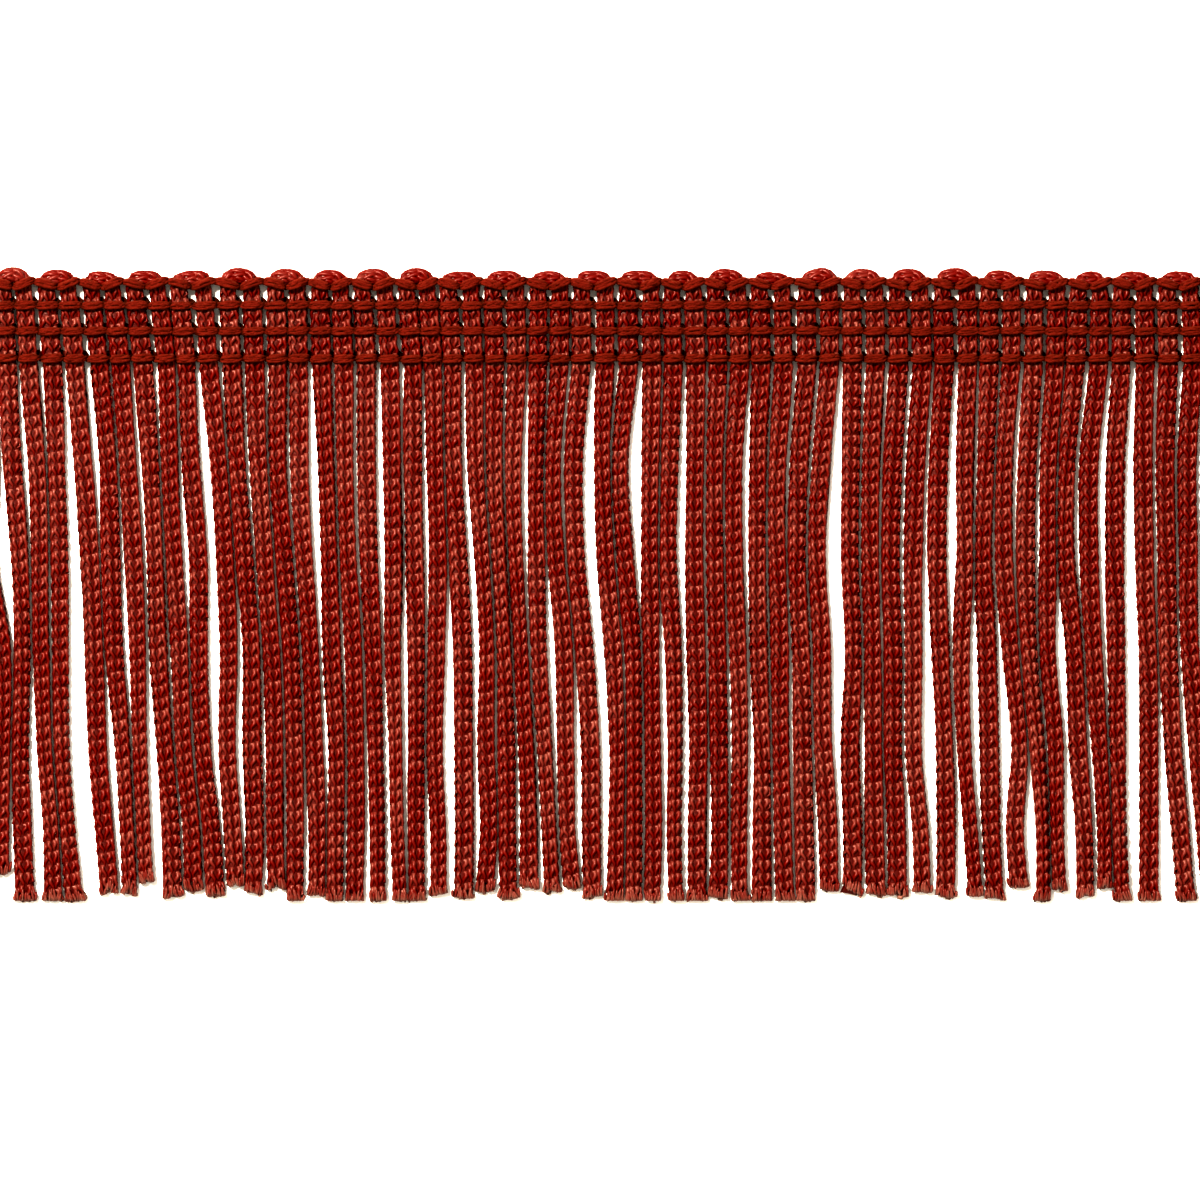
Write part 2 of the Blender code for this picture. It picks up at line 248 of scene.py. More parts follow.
# ---------- the knitted cord ----------
CORD_SEED = 100              # the random numbers of each hairpin start from this and its number
WALES = 4                    # columns of stitches round the tube
COURSE = 1.5 * MM            # from one round of stitches to the next
YARN_HALF = 0.26 * MM        # half the knitting yarn's width
YARN_FLAT = 0.85             # its thickness as a share of its width
YARN_VARIES = 0.1            # share by which both vary, either way
STITCH_YARN = 3.4            # mm of yarn in one stitch, for the course of its filaments
FILAMENT_TWIST = 0.8 * MM    # how far along the yarn its filaments turn by one radian
LOOP_HALF_HEIGHT = 0.8 * MM
LOOP_HEIGHT_VARIES = 0.15
LOOP_WIDENING = 0.38         # the yarn is this much wider at a loop's upper end, narrower at its lower
LOOP_SPREAD = 0.265          # how far a loop's sides swing out, in wales
LOOP_SPREAD_VARIES = 0.2
FOOT_SPREAD = 0.04           # and how much more at its lower end, where they meet
FACE_LEVEL = (0.0, 0.4)      # share of the courses' rise that is taken up behind the cord
LOOP_BULGE = 0.25 * MM       # how far a loop's sides stand out and its ends lie back
LOOP_BULGE_VARIES = 0.35
END_SINK = 0.12 * MM         # how much more sharply its ends dive behind the next loops
FOOT_SINK = 0.06 * MM        # its lower end lies this much deeper, and its sides rise from there
EDGE_BULGE = 0.35            # the share of all this that is left at a cord's edges
BOX_SHAPE = 0.18             # makes the tube's oval section a little more square
HEADING_BOX = 0.4            # and this much more so in the heading, where it is pressed
PUFF = 0.19 * MM             # the loops' sides stand this far outside a cord's even outline
TWIST_RANGE = 0.05           # how far a cord lies twisted either way, in turns
MIDDLE_TWIST = 0.5 / WALES   # a column of stitches runs down the middle of the face
TWIST_STEP = 12 * MM         # between changes of its twist
SHADE_STEP = 18 * MM         # between changes of its shade
LINE_STEP = 0.2 * MM         # between the points of a cord's middle line

# Where the rings of one stitch's yarn lie, in shares of the stitch, and how many sides they have.
FACE_STEPS = np.arange(10) / 10
FACE_SIDES = 4
BACK_STEPS = np.array((60, 120, 240, 300)) / 360
BACK_SIDES = 3
BEND_STEPS = np.arange(12) / 12
BEND_SIDES = 6

CORE_SIDES = 8               # a plain tube inside stands for the layers of yarn deeper in
CORE_STEP = 1.0 * MM
CORE_INSET = 0.42 * MM       # it lies this far inside the cord's faces
CORE_SIDE_INSET = 0.18 * MM  # and this far inside its edges
CORE_FULLER = 1.1            # makes up for the flats between its corners

# A tint of 0 is the yarn's own colour. Above it the yarn is paler, and below it darker.
HIGHLIGHT_TINT = 0.31              # painted highlight: a loop is this much paler at its upper end, which faces the light
HIGHLIGHT_TINT_POWER = 3           # and how sharply that end is set off
STITCH_TINT = 0.1            # either way, from stitch to stitch
CORD_TINT = 0.07             # either way, slowly along a cord
BEND_TINT = -0.06
# painted shade: the tube inside, seen through the holes between the loops, is darker
CORE_SHADE = -0.65
TIP_TINT = 0.5               # at a cut end

# ---------- heading ----------
HEADING_LIFT = 0.3 * MM      # the cords lie on the yarn that runs behind them
HEADING_BELOW = 1.5 * MM     # their shape starts to change this far below the legs' roots
LIFT_ABOVE = 0.8 * MM        # and they are fully lifted this far above them
HEADING_HALF_WIDTH = 1.09 * MM
HEADING_VARIES = 0.07 * MM   # either way, from cord to cord
WIDTH_SEED = 300             # that random number starts from this and the leg's number
TOP_BAND_HALF_WIDTH = 0.94 * MM      # between the two upper rows
TOP_BAND_EASE = 1.0 * MM     # a cord narrows to it over this length
NARROW_THICKER = 0.4         # a leg is thicker by this share of what its half width lacks
NARROW_BELOW = 10 * MM       # fully so from this far below its root
ROW_PINCH = 0.1 * MM         # a stitch row presses the cord down by this much above and below
ROW_PINCH_ASIDE = 0.05 * MM  # and by this much at each side
ROW_PINCH_LENGTH = 0.5 * MM
SAG = 0.12 * MM              # the cords lie this much lower between the two upper rows
SAG_THIN = 0.05 * MM         # and are this much thinner above and below their middle
SAG_FROM = 1.3 * MM          # from the middle between those rows, where the sag starts
SAG_FULL = 0.5 * MM          # and where it is full
SHOULDER = 1.5 * MM          # a cord starts to turn towards its bend this far below it
BEND_EASE = 1.0 * MM         # and starts to take the bend's size this far below it
BEND_POINTS = 25
BEND_HALF_WIDTH = 0.84 * MM  # half the cord's width where it is bent round
BEND_HALF_THICK = 0.8 * MM
BEND_FOOT = 0.25 * MM        # the bend starts this far above the top row's middle
BEND_YARN = 0.35             # the yarn looks this much coarser there
BEND_FLAT = 0.65             # and its loops stand out this much less
BEND_SPREAD = 0.3            # a lower bend is wider by this share of what it is lower

# ---------- cut ends ----------
OVERRUN = 3.0 * MM           # the cord is knitted this far past its end, and then cut
TIP_LENGTH = 1.4 * MM        # the spread of an end starts this far above it
TIP_FLATTEN = 0.25           # share of its thickness that an end loses
BITE = 1.5                   # a bite is this many times as deep in its middle as in the table
BITE_WIDTH = 0.3             # as a share of half the cord's width
MOST_CUT = 0.95              # a cut yarn keeps at least the rest of the piece between two rings

# Loose yarn ends on the face of each cut end. Places across are shares of half the cord's width.
FRAYS = 11
FRAY_LENGTH = 1.3 * MM
FRAY_LENGTHS = (0.5, 1.2)    # the shortest and the longest, as shares of it
FRAY_HALF = 0.19 * MM        # half the width of a loose yarn
FRAY_ACROSS = 0.86           # place of the outermost ones
FRAY_WANDER = 0.09           # either way from their even places
FRAY_LEAN = 0.3              # how far their ends lean, either way
FRAY_INSIDE = 0.92           # this factor keeps them inside the cord's outline
FRAY_ROUND = 0.8             # and follow the roundness of its face by this much
FRAY_DEPTHS = (0.8, 1.5)     # how deep they lie in it, as shares of FRAY_HALF
FRAY_ARCH = 0.06 * MM        # each is arched by this much
FRAY_ARCH_SPAN = (0.4, 3.1)  # from its root to its end, as angles of a sine wave
FRAY_TILT = 0.6              # the outer ones face outwards
FRAY_SHIFT = 5 * MM          # their filaments differ as if they were this far apart
FRAY_WIDTHS = np.array((0.5, 1.0, 1.1, 0.9))     # from root to end, as shares of FRAY_HALF
FRAY_THICKS = np.array((0.5, 0.9, 0.9, 0.7))
FRAY_TINTS = np.array((0.2, 0.35, 0.55, 0.7))
FRAY_TINT_RANGE = (0.2, 1.0)
FRAY_SIDES = 4

# ---------- chain stitch rows ----------
ROW_SEED = 500               # the random numbers of each row start from this and its number
ROW_START = 0.4 * MM         # a row starts this far inside the trim's left end
ROW_STOP = 1.0 * MM          # and stops this far inside its right end
ROW_WAVE = 0.32 * MM         # the top row rises between the scallops and dips under them
ROW_SLANT = 0.16 * MM        # a link's right end lies this much higher than its left end
PLY_HALFS = (0.24, 0.205, 0.205, 0.205)      # half a ply's width in each row, in mm
PLY_OFFSET = 0.125 * MM      # from the yarn's middle to the middle of each ply
PLY_WANDER = 1.1             # how far the plies turn round each other either way, in radians
PLY_SHIFT = 7 * MM           # their filaments differ as if they were this far apart
PLY_SIDES = 4
PLY_TINT = 0.4               # either way
YARN_FACING = (0.0, 0.3, 1.0)        # out of the cloth, and nowhere along the yarn

# One link of chain stitch, from the gap left of a cord to the gap right of it: up in the left
# gap, over the cord, round in the right gap, back over the cord, down, and along behind it.
LINK = (
    # way across, up the trim, above the floor (mm)
    (-0.020, 0.62, 0.30),
    (0.000, 0.10, 1.05),
    (0.035, 0.05, 1.48),
    (0.100, 0.13, 1.58),
    (0.190, 0.19, 1.69),
    (0.310, 0.22, 1.81),
    (0.500, 0.23, 1.86),
    (0.690, 0.22, 1.81),
    (0.810, 0.19, 1.69),
    (0.900, 0.13, 1.58),
    (0.965, 0.05, 1.48),
    (0.985, 0.00, 1.42),
    (0.965, -0.05, 1.48),
    (0.900, -0.13, 1.58),
    (0.810, -0.19, 1.69),
    (0.690, -0.22, 1.80),
    (0.500, -0.23, 1.85),
    (0.310, -0.22, 1.79),
    (0.190, -0.19, 1.67),
    (0.100, -0.13, 1.56),
    (0.035, -0.05, 1.44),
    (0.010, -0.03, 0.75),
    (0.060, 0.05, 0.35),
    (0.250, 0.30, 0.25),
    (0.500, 0.55, 0.22),
    (0.800, 0.75, 0.24),
)
LINK_SUBDIVISIONS = 2
BACK_HEIGHT = 0.95           # a link's points below this height, in mm, are behind the cord
BACK_SWINGS = (0.0, 1.0, 1.0, 1.0)   # share of their way up the trim, for each row
LINK_DIPS = (0.9, 0.0, 0.0, 0.9)     # each row lies this much deeper in the gaps, in mm
PEAK_DIP = 0.3               # where the top row rises, it dips by this share of that
DIP_FULL = 0.02              # a dip is full this far into a link, as a share of it
DIP_END = 0.14               # and ends this far into it

# How far the links vary, in mm either way, or as shares of their width.
POINT_WANDER = 0.05
LINK_WIDTHS = (0.85, 1.15)
LINK_WANDER = 0.06
HEIGHT_WANDER = 0.05

# ---------- materials ----------
CORD_COLOR = (0.136, 0.0048, 0.0009, 1.0)
CORD_DEEP = (0.10, 0.0018, 0.0005, 1.0)
# the pale colour also gives the painted highlights on the loops' upper ends
CORD_PALE = (0.275, 0.158, 0.112, 1.0)
WARP_COLOR = (0.147, 0.0235, 0.0125, 1.0)
WARP_DEEP = (0.085, 0.006, 0.003, 1.0)
FLOOR_COLOR = (0.92, 0.88, 0.78, 1.0)
STREAK_LOW = 0.35            # noise below this gives the deep colour
STREAK_HIGH = 0.6            # and noise above this the plain one
DARKEST = 0.35               # brightness that is left at a tint of -1
MIX_FACTOR, MIX_FROM, MIX_TO, MIX_RESULT = 0, 6, 7, 2    # the sockets of a node that mixes colours

# ---------- view ----------
VIEW_WIDTH = 144.75 * MM     # what the picture shows of the trim, across
VIEW_MIDDLE_Y = -1.92 * MM
CAMERA_HEIGHT = 1.6          # above the floor
CAMERA_REACH = 10.0
SENSOR_WIDTH = 36.0          # in mm
FLOOR_HALF = 1.5
KEY_PLACE = (-0.500, 0.520, 1.050)
KEY_WIDTH = 0.12
KEY_HEIGHT = 0.24
KEY_POWER = 51.0             # in watts
WORLD_STRENGTH = 1.5
VIEW_GAMMA = 0.58            # the picture has strong contrast
BLACK_LEVEL = 0.0225


# ---------- where the cords lie ----------
def smooth(places, values, at):
    """A cubic curve through the values, whose slope at each place comes from its neighbours."""
    places = np.array(places)
    values = np.array(values, dtype=float)
    last = len(places) - 1
    each = np.arange(last + 1)
    before = np.maximum(each - 1, 0)
    after = np.minimum(each + 1, last)
    slopes = (values[after] - values[before]) / (places[after] - places[before])
    index = np.clip(np.searchsorted(places, at) - 1, 0, last - 1)
    span = places[index + 1] - places[index]
    t = np.clip((at - places[index]) / span, 0.0, 1.0)
    rise = values[index + 1] - values[index]
    bend_in = slopes[index] * span - rise
    bend_out = rise - slopes[index + 1] * span
    return values[index] + t * rise + t * (1 - t) * ((1 - t) * bend_in + t * bend_out)


def ease(low, high, at):
    """A soft step from 0 at low to 1 at high."""
    t = np.clip((at - low) / (high - low), 0.0, 1.0)
    return t * t * (3 - 2 * t)


def leg_length(leg):
    """How far a leg reaches below its root."""
    return ROOT_Y - BOTTOM_Y - LEGS[leg][7] * TENTH


def leg_x(leg, down):
    """The middle of a leg at distances down from its root."""
    even_x = (leg - (len(LEGS) - 1) / 2) * LEG_PITCH
    places = STATIONS + (leg_length(leg),)
    return even_x + smooth(places, LEGS[leg][:7], down) * TENTH


def leg_half_width(leg, down):
    """Half a leg's width, less where a neighbour leaves it no room."""
    own = LEGS[leg][8] * TENTH
    half = np.interp(down, (OWN_WIDTH_FROM, OWN_WIDTH_FULL), (CORD_WIDTH, own)) / 2 + PUFF
    for other in (leg - 1, leg + 1):
        if 0 <= other < len(LEGS):
            half = np.minimum(half, np.abs(leg_x(other, down) - leg_x(leg, down)) / 2)
    return half


def cord_x(leg, y):
    """The middle of a cord inside the heading."""
    lean = np.interp(leg, [row[0] for row in LEAN], [row[1] for row in LEAN]) * TENTH
    return leg_x(leg, 0.0) + lean * (y - ROOT_Y) / LEAN_SPAN


def scallop_middle(hairpin):
    """Where a hairpin's bend is centred: between its two cords, on the top stitch row."""
    return (cord_x(2 * hairpin, ROW_YS[0]) + cord_x(2 * hairpin + 1, ROW_YS[0])) / 2


def side_line(leg, shoulder_x, bend_y):
    """One side of a hairpin, from below its cut end up to where the bend starts: its middle, half
    its width, and what share of its thickness it keeps."""
    down = np.arange(leg_length(leg) + OVERRUN, 0.0, -LINE_STEP)
    heading_y = np.arange(ROOT_Y, bend_y, LINE_STEP)
    left, right = TIPS[leg][:2]
    at_tip = ease(TIP_LENGTH, 0.0, leg_length(leg) - down)
    tip_x = leg_x(leg, down) + at_tip * (right - left) * TENTH / 2
    x = np.concatenate((tip_x, cord_x(leg, heading_y)))
    y = np.concatenate((ROOT_Y - down, heading_y))
    to_shoulder = ease(bend_y - SHOULDER, bend_y, y)
    x = x + to_shoulder * (shoulder_x - x)
    leg_half = leg_half_width(leg, np.minimum(down, leg_length(leg)))
    leg_half = leg_half + at_tip * (left + right) * TENTH / 2
    in_top_band = ease(ROW_YS[1], ROW_YS[1] + TOP_BAND_EASE, heading_y)
    varies = np.random.default_rng(WIDTH_SEED + leg).uniform(-1.0, 1.0)
    own_half = HEADING_HALF_WIDTH + varies * HEADING_VARIES
    heading_half = own_half + in_top_band * (TOP_BAND_HALF_WIDTH - own_half)
    half = np.concatenate((leg_half, heading_half + PUFF))
    flatten = np.concatenate((1 - TIP_FLATTEN * at_tip, np.ones(len(heading_y))))
    return x, y, half, flatten


def bend_line(hairpin, middle, reach, bend_y):
    """The bend of a hairpin, in the same form as its sides."""
    low, _, skew = SCALLOPS[hairpin]
    rise = TOP_Y - low * TENTH - BEND_HALF_WIDTH - bend_y
    turn = np.linspace(math.pi, 0.0, BEND_POINTS)
    up = np.maximum(np.sin(turn), 0.0)
    x = middle + reach * np.cos(turn) + skew * TENTH * up
    half = np.full(BEND_POINTS, BEND_HALF_WIDTH + PUFF)
    return x, bend_y + rise * up, half, np.ones(BEND_POINTS)


def hairpin_line(hairpin):
    """A hairpin's middle line, from its left end over the bend to its right end, with its
    direction to the side and half its width and thickness at each point."""
    low, wide, _ = SCALLOPS[hairpin]
    middle = scallop_middle(hairpin)
    reach = (wide / 2 + BEND_SPREAD * low) * TENTH + PUFF - BEND_HALF_WIDTH
    bend_y = ROW_YS[0] + BEND_FOOT
    left = side_line(2 * hairpin, middle - reach, bend_y)
    bend = bend_line(hairpin, middle, reach, bend_y)
    right = side_line(2 * hairpin + 1, middle + reach, bend_y)
    x, y, half, flatten = (np.concatenate((a, b, c[::-1])) for a, b, c in zip(left, bend, right))

    in_bend = ease(bend_y - BEND_EASE, bend_y, y)
    pinch = sum(np.exp(-((y - row_y) / ROW_PINCH_LENGTH) ** 2) for row_y in ROW_YS)
    top_band_y = (ROW_YS[0] + ROW_YS[1]) / 2
    sag = ease(SAG_FROM, SAG_FULL, np.abs(y - top_band_y))
    half = half + in_bend * (BEND_HALF_WIDTH + PUFF - half)
    half = half - ROW_PINCH_ASIDE * pinch
    narrower = np.maximum(CORD_WIDTH / 2 + PUFF - half, 0.0)
    thick = CORD_THICK / 2 + NARROW_THICKER * narrower * ease(ROOT_Y, ROOT_Y - NARROW_BELOW, y)
    thick = thick - ROW_PINCH * pinch - SAG_THIN * sag
    thick = (thick + in_bend * (BEND_HALF_THICK - thick)) * flatten
    lift = HEADING_LIFT * ease(ROOT_Y - HEADING_BELOW, ROOT_Y + LIFT_ABOVE, y) - SAG * sag

    points = np.stack((x, y, CORD_THICK / 2 * flatten + lift), axis=1)
    points[:, 2] = np.maximum(points[:, 2], thick)
    along = np.concatenate(([0.0], np.cumsum(np.linalg.norm(np.diff(points, axis=0), axis=1))))
    direction = np.gradient(points, along, axis=0)
    side = np.cross(direction, UP)
    side = side / np.linalg.norm(side, axis=1)[:, None]
    return {"along": along, "points": points, "side": side, "half": half, "thick": thick}


# ---------- tubes of yarn ----------
def bridge_steps(count_a, count_b):
    """Which corners of two rings make each face between them."""
    most = max(count_a, count_b)
    for corner in range(most):
        a, a_next = corner * count_a // most, (corner + 1) * count_a // most % count_a
        b, b_next = corner * count_b // most, (corner + 1) * count_b // most % count_b
        face = [("a", a), ("a", a_next), ("b", b_next), ("b", b)]
        if a == a_next:
            face.pop(1)
        elif b == b_next:
            face.pop(2)
        yield face


def tube_faces(first, start, sides):
    """The faces of closed tubes, as one array of corners for each number of corners."""
    faces = {}
    last = np.roll(first, -1)
    for count_a in np.unique(sides):
        for count_b in np.unique(sides):
            is_pair = ~first[1:] & (sides[:-1] == count_a) & (sides[1:] == count_b)
            pair = np.flatnonzero(is_pair)
            ring = {"a": start[pair], "b": start[pair + 1]}
            for face in bridge_steps(count_a, count_b):
                corners = np.stack([ring[name] + corner for name, corner in face], axis=1)
                faces.setdefault(len(face), []).append(corners)
        corners = np.arange(count_a)
        for ends, order in ((first, corners[::-1]), (last, corners)):
            ring = start[ends & (sides == count_a)]
            faces.setdefault(count_a, []).append(ring[:, None] + order)
    return [np.concatenate(arrays) for arrays in faces.values()]


def ring_corners(rings, ring, angle):
    """The corners of all rings, each ring across its own stretch of yarn."""
    points = rings["point"]
    step = np.diff(points, axis=0)
    step[rings["first"][1:]] = 0.0
    tangent = np.zeros_like(points)
    tangent[1:] += step
    tangent[:-1] += step
    side = np.cross(tangent, rings["out"])
    side /= np.linalg.norm(side, axis=1)[:, None]
    up = np.cross(side, tangent)
    up /= np.linalg.norm(up, axis=1)[:, None]
    across = (rings["half"][ring] * np.sin(angle))[:, None] * side[ring]
    over = (rings["thick"][ring] * np.cos(angle))[:, None] * up[ring]
    corners = points[ring] + across + over
    corners[:, 2] = np.maximum(corners[:, 2], 0.0)
    return corners


def make_mesh(name, corners, faces):
    """A smooth mesh, from its corners and one array of faces for each number of corners."""
    sizes = np.concatenate([np.full(len(array), array.shape[1]) for array in faces])
    mesh = bpy.data.meshes.new(name)
    mesh.vertices.add(len(corners))
    mesh.vertices.foreach_set("co", corners.ravel())
    mesh.loops.add(int(sizes.sum()))
    mesh.loops.foreach_set("vertex_index", np.concatenate([array.ravel() for array in faces]))
    mesh.polygons.add(len(sizes))
    mesh.polygons.foreach_set("loop_start", np.concatenate(([0], np.cumsum(sizes)[:-1])))
    mesh.polygons.foreach_set("use_smooth", np.ones(len(sizes), dtype=bool))
    mesh.update(calc_edges=True)
    return mesh


def make_tubes(name, rings, material):
    """Join rings of yarn to closed tubes in one object. Each ring has a point, a direction out
    of the cloth, half its width and thickness, a number of sides, how far along the yarn it
    lies, a tint, and whether it is the first ring of a tube."""
    sides = rings["sides"]
    start = np.concatenate(([0], np.cumsum(sides)[:-1]))
    ring = np.repeat(np.arange(len(sides)), sides)
    angle = 2 * math.pi * (np.arange(len(ring)) - start[ring]) / sides[ring]
    mesh = make_mesh(name, ring_corners(rings, ring, angle), tube_faces(rings["first"], start, sides))
    turned = angle + rings["along"][ring] / FILAMENT_TWIST
    fibre = np.stack((np.cos(turned), np.sin(turned), rings["along"][ring] / MM), axis=1)
    mesh.attributes.new("fibre", "FLOAT_VECTOR", "POINT").data.foreach_set("vector", fibre.ravel())
    mesh.attributes.new("tint", "FLOAT", "POINT").data.foreach_set("value", rings["tint"][ring])
    mesh.materials.append(material)
    piece = bpy.data.objects.new(name, mesh)
    bpy.context.scene.collection.objects.link(piece)
    return piece


# ---------- the hairpins ----------
def on_line(line, name, at):
    """A value of a cord's middle line, at distances along it."""
    values = line[name]
    if values.ndim == 1:
        return np.interp(at, line["along"], values)
    return np.stack([np.interp(at, line["along"], column) for column in values.T], axis=1)


def slow_shade(rng, length, at):
    """A shade between -1 and 1 that changes slowly along a cord."""
    knots = np.arange(0.0, length + 2 * SHADE_STEP, SHADE_STEP)
    return smooth(knots, rng.uniform(-1.0, 1.0, len(knots)), at)


def yarn_rings(is_bend, is_face):
    """Where the rings of a cord's yarn lie, counted in stitches, and how many sides each has."""
    steps = [BEND_STEPS if bend else FACE_STEPS if face else BACK_STEPS
             for bend, face in zip(is_bend, is_face)]
    place = np.concatenate([stitch + step for stitch, step in enumerate(steps)])
    stitch_sides = np.where(is_bend, BEND_SIDES, np.where(is_face, FACE_SIDES, BACK_SIDES))
    return place, stitch_sides[place.astype(int)]


def tube_section(angle, half, thick, box):
    """Points of a cord's oval outline, to the side and up, and the directions out of it."""
    cos, sin = np.cos(angle), np.sin(angle)
    x = -half * cos
    z = thick * sin * (1 + box * cos ** 2)
    out_x = -thick * cos * (1 + box * (cos ** 2 - 2 * sin ** 2))
    out_z = half * sin
    size = np.hypot(out_x, out_z)
    return x, z, out_x / size, out_z / size


def knit(line, rng):
    """The rings of the one yarn that knits a cord round and round."""
    length = line["along"][-1]
    count = int((length - 2 * LOOP_HALF_HEIGHT) / COURSE * WALES)
    knots = np.arange(0.0, length + 2 * TWIST_STEP, TWIST_STEP)
    twists = MIDDLE_TWIST + rng.uniform(-TWIST_RANGE, TWIST_RANGE, len(knots))

    def upward(at):
        """1 where the cord runs up the trim, -1 where it comes down again."""
        return on_line(line, "side", at)[:, 0]

    def turn(at):
        """How far the cord is turned round its middle line, in turns."""
        return smooth(knots, twists, at) + (1 - upward(at)) / 4 / WALES

    stitch_middle = np.arange(count) + 0.5
    at = LOOP_HALF_HEIGHT + stitch_middle * COURSE / WALES
    is_bend = on_line(line, "points", at)[:, 1] > ROW_YS[0]
    is_face = is_bend | (np.sin(2 * math.pi * (stitch_middle / WALES + turn(at))) > 0)
    place, sides = yarn_rings(is_bend, is_face)

    def vary(amount):
        """A factor round 1 that varies from stitch to stitch."""
        return 1 + amount * np.interp(place, stitch_middle, rng.uniform(-1.0, 1.0, count))

    # The way of the yarn along the cord and round it, and how far it stands out.
    swing = 2 * math.pi * place
    course = LOOP_HALF_HEIGHT + COURSE * place / WALES
    round_tube = 2 * math.pi * (place / WALES + turn(course))
    along = course + rng.uniform(*FACE_LEVEL) * COURSE * np.cos(round_tube) / (2 * math.pi)
    along = along - LOOP_HALF_HEIGHT * vary(LOOP_HEIGHT_VARIES) * np.cos(swing)
    foot = upward(along) * np.cos(swing)
    spread = (LOOP_SPREAD * vary(LOOP_SPREAD_VARIES) + FOOT_SPREAD * foot) * np.sin(2 * swing)
    angle = 2 * math.pi * ((place + spread) / WALES + turn(along))
    bulge = -LOOP_BULGE * vary(LOOP_BULGE_VARIES) * np.cos(2 * swing)
    bulge = bulge - END_SINK * np.cos(4 * swing) - FOOT_SINK * foot

    # The same as points, in the section of the cord.
    middle = on_line(line, "points", along)
    side = on_line(line, "side", along)
    in_bend = ease(ROW_YS[0] + BEND_FOOT, ROW_YS[0] + 2 * BEND_FOOT, middle[:, 1])
    at_face = EDGE_BULGE + (1 - EDGE_BULGE) * np.abs(np.sin(angle))
    bulge = bulge * at_face * (1 - BEND_FLAT * in_bend)
    yarn_half = YARN_HALF * (1 + BEND_YARN * in_bend)
    yarn = yarn_half * YARN_FLAT
    half = on_line(line, "half", along) - yarn - EDGE_BULGE * LOOP_BULGE
    thick = on_line(line, "thick", along) - yarn - LOOP_BULGE
    box = BOX_SHAPE + HEADING_BOX * ease(ROOT_Y - HEADING_BELOW, ROOT_Y, middle[:, 1]) * (1 - in_bend)
    x, z, out_x, out_z = tube_section(angle, half, thick, box)
    out = out_x[:, None] * side + out_z[:, None] * UP
    return {
        "point": middle + x[:, None] * side + z[:, None] * UP + bulge[:, None] * out,
        "out": out, "sides": sides, "at": along,
        "half": yarn_half * vary(YARN_VARIES) * (1 - LOOP_WIDENING * foot),
        "thick": yarn * vary(YARN_VARIES),
        "across": x / half,
        "along": place * STITCH_YARN * MM,
        # the tint adds a painted highlight at each loop's upper end
        "tint": STITCH_TINT * (vary(1.0) - 1) + CORD_TINT * slow_shade(rng, length, along)
        + BEND_TINT * in_bend + HIGHLIGHT_TINT * ((1 - foot) / 2) ** HIGHLIGHT_TINT_POWER,
    }


def cut(rings, low, high):
    """Cut a yarn off below low and above high, at both ends of its cord."""
    at = rings["at"]
    inside = (at > low) & (at < high)
    keep = inside | np.roll(inside, 1) | np.roll(inside, -1)
    is_start = ~inside & np.roll(inside, -1)
    is_end = ~inside & np.roll(inside, 1) & ~is_start
    limit = np.clip(at, low, high)
    point = rings["point"].copy()
    for outside, shift in ((is_end, 1), (is_start, -1)):
        step = np.where(outside, np.roll(at, shift) - at, 1.0)
        share = np.clip(np.where(outside, (limit - at) / step, 0.0), 0.0, MOST_CUT)
        point += share[:, None] * (np.roll(rings["point"], shift, axis=0) - rings["point"])
    first = is_start | np.roll(is_end, 1)
    first[0] = True
    rings = dict(rings, point=point, first=first)
    return {name: values[keep] for name, values in rings.items()}


def cut_back(leg, across):
    """How much sooner than at its longest a leg is cut, across it from -1 left to 1 right."""
    slant, bite, rounding = TIPS[leg][2:]
    across = np.clip(across, -1.0, 1.0)
    lean = max(slant, 0) * (1 - across) / 2 + max(-slant, 0) * (1 + across) / 2
    notch = BITE * bite * np.exp(-(across / BITE_WIDTH) ** 2)
    return (lean + notch + rounding * np.abs(across) ** 3) * TENTH


def make_core(line):
    """The rings of the plain tube inside a cord."""
    low = OVERRUN + CORE_INSET
    at = np.arange(low, line["along"][-1] - low, CORE_STEP)
    count = len(at)
    return {
        "point": on_line(line, "points", at), "out": np.tile(UP, (count, 1)),
        "sides": np.full(count, CORE_SIDES), "first": at == low, "along": at,
        "half": on_line(line, "half", at) - CORE_SIDE_INSET,
        "thick": (on_line(line, "thick", at) - CORE_INSET) * CORE_FULLER,
        # painted shade
        "tint": np.full(count, CORE_SHADE),
    }


def loose_yarn(line, leg, ending, place, rng):
    """The rings of one loose yarn end, at a place across a leg's cut end, which is the hairpin's
    left end where ending is 0, and its right end where it is 1."""
    rings = len(FRAY_WIDTHS)
    place = place + rng.uniform(-FRAY_WANDER, FRAY_WANDER)
    length = FRAY_LENGTH * rng.uniform(*FRAY_LENGTHS)
    back = OVERRUN + cut_back(leg, place) + np.linspace(length, 0.0, rings)
    at = back if ending == 0 else line["along"][-1] - back
    lean = rng.uniform(-FRAY_LEAN, FRAY_LEAN) * (back - back[-1]) / length
    x = on_line(line, "half", at) * FRAY_INSIDE * (place + lean)
    rise = on_line(line, "thick", at) * np.sqrt(1 - FRAY_ROUND * place ** 2)
    rise = rise - FRAY_HALF * rng.uniform(*FRAY_DEPTHS)
    rise = rise + FRAY_ARCH * np.sin(np.linspace(*FRAY_ARCH_SPAN, rings))
    return {
        "point": on_line(line, "points", at) + np.stack((x, np.zeros(rings), rise), axis=1),
        "out": np.tile((FRAY_TILT * place, 0.0, 1.0), (rings, 1)),
        "sides": np.full(rings, FRAY_SIDES), "first": np.arange(rings) == 0,
        "along": back + FRAY_SHIFT * place,
        "half": FRAY_HALF * FRAY_WIDTHS, "thick": FRAY_HALF * FRAY_THICKS,
        "tint": FRAY_TINTS * rng.uniform(*FRAY_TINT_RANGE),
    }


def join(parts):
    """Many sets of rings as one."""
    return {name: np.concatenate([part[name] for part in parts]) for name in parts[-1]}


